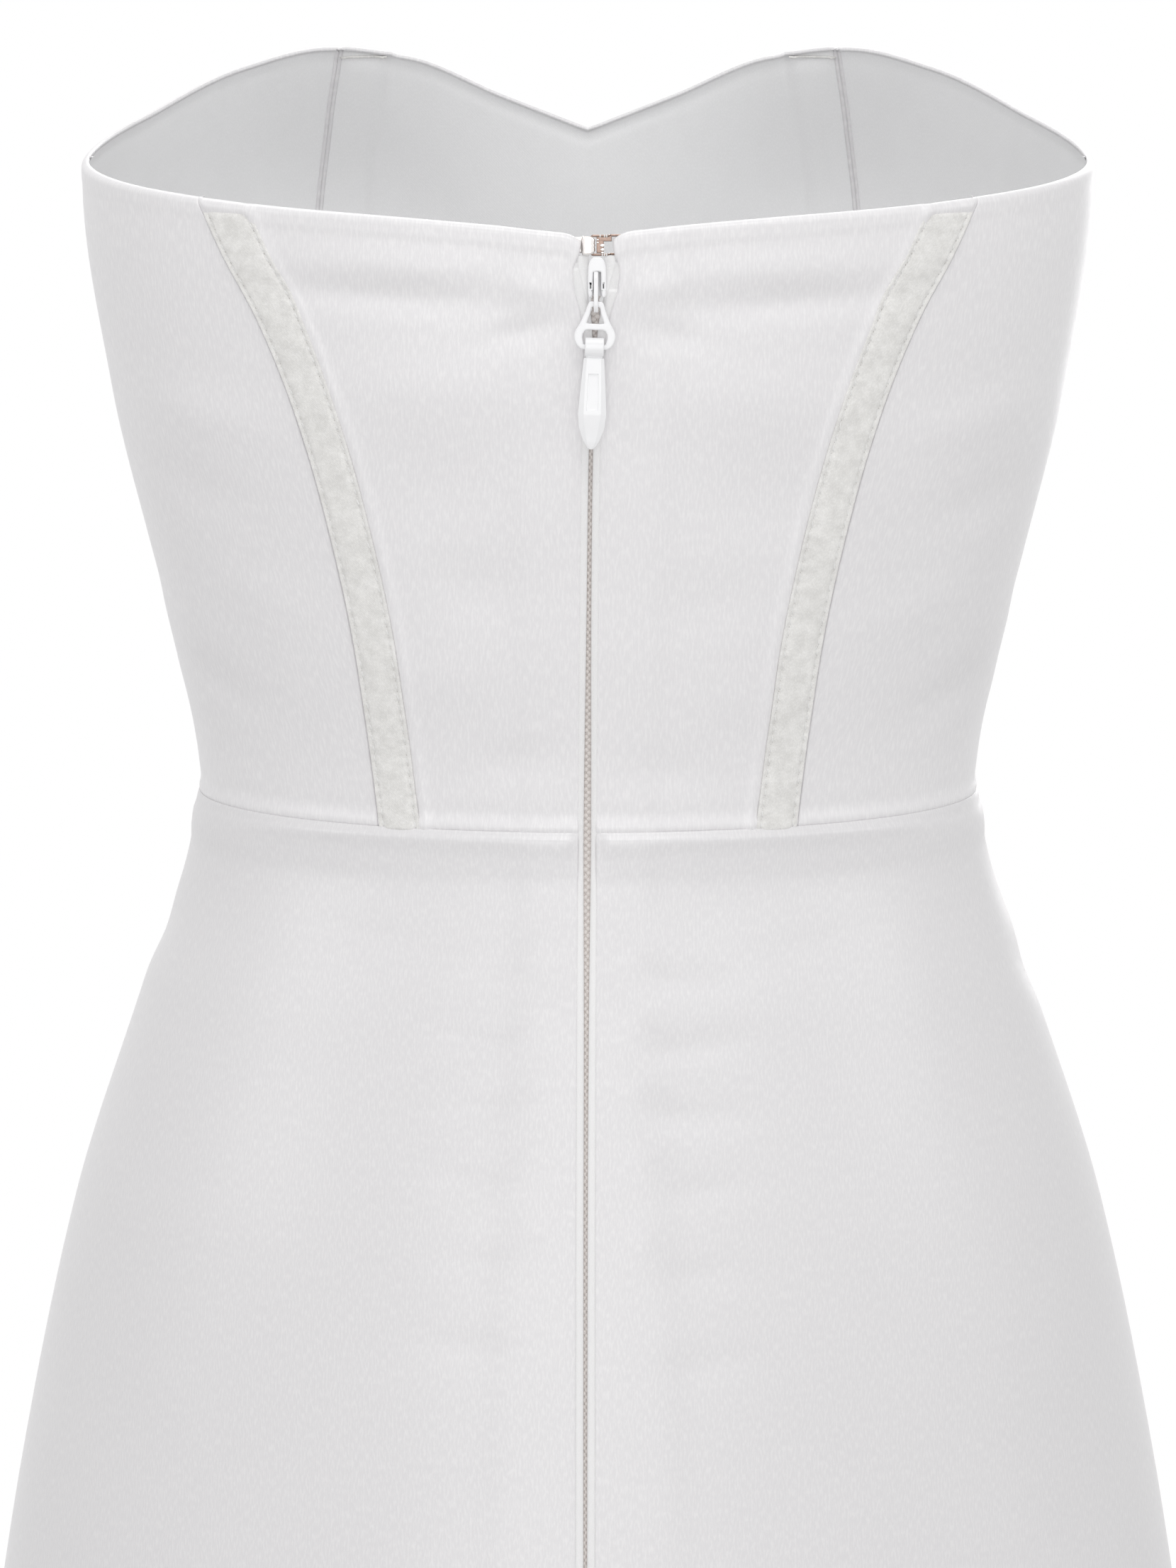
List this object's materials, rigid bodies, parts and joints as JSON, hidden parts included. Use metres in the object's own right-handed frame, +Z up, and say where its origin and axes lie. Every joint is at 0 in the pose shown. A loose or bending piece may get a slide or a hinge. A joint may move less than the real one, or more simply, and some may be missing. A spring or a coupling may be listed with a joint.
{
  "type": "corset gown",
  "caption": "Strapless satin corset gown in its worn, hollow form, with boning casings, a zip with a hanging ring and drop pull, and a long fluted skirt.",
  "frame": {"origin": "middle of the waist, level with the waist seam, where the wearer holds the gown up", "axes": "+Z up, -Y towards the back with the zip, +X to the right of someone who looks at the back"},
  "size_m": [0.7046, 0.6023, 1.314],
  "materials": {
    "satin": "white satin with a soft sheen and fine slubs",
    "casing": "matte woven boning tape, stitched along both edges",
    "zip_tape": "fine ribbed woven tape",
    "zip_coil": "white nylon coil",
    "white_lacquer": "glossy white lacquer on zinc",
    "nickel": "polished nickel with a warm tint"
  },
  "bodies": {
    "gown": {"back_left": "satin", "back_right": "satin", "side_back_left": "satin", "side_back_right": "satin", "side_front_left": "satin", "side_front_right": "satin", "centre_front": "satin", "skirt_back_left": "satin", "skirt_back_right": "satin", "skirt_front": "satin", "casing_back_left": "casing", "casing_back_right": "casing", "casing_front_left": "casing", "casing_front_right": "casing", "zip_tape_left": "zip_tape", "zip_tape_right": "zip_tape", "zip_coil": "zip_coil", "zip_slider": "white_lacquer", "hook": "nickel", "eye": "nickel"},
    "ring": {"zip_ring": "white_lacquer"},
    "pull": {"zip_pull": "white_lacquer"}
  },
  "joints": [
    {"name": "ring_swing", "type": "hinge", "parent": "gown", "child": "ring", "pos_m": [0.0022, -0.1067, 0.152], "axis": [-0.9994, 0, 0.0349], "range_deg": [0, 120]},
    {"name": "pull_swing", "type": "hinge", "parent": "ring", "child": "pull", "pos_m": [0.00179, -0.1067, 0.14016], "axis": [-0.9994, 0, 0.0349], "range_deg": [0, 60]}
  ]
}
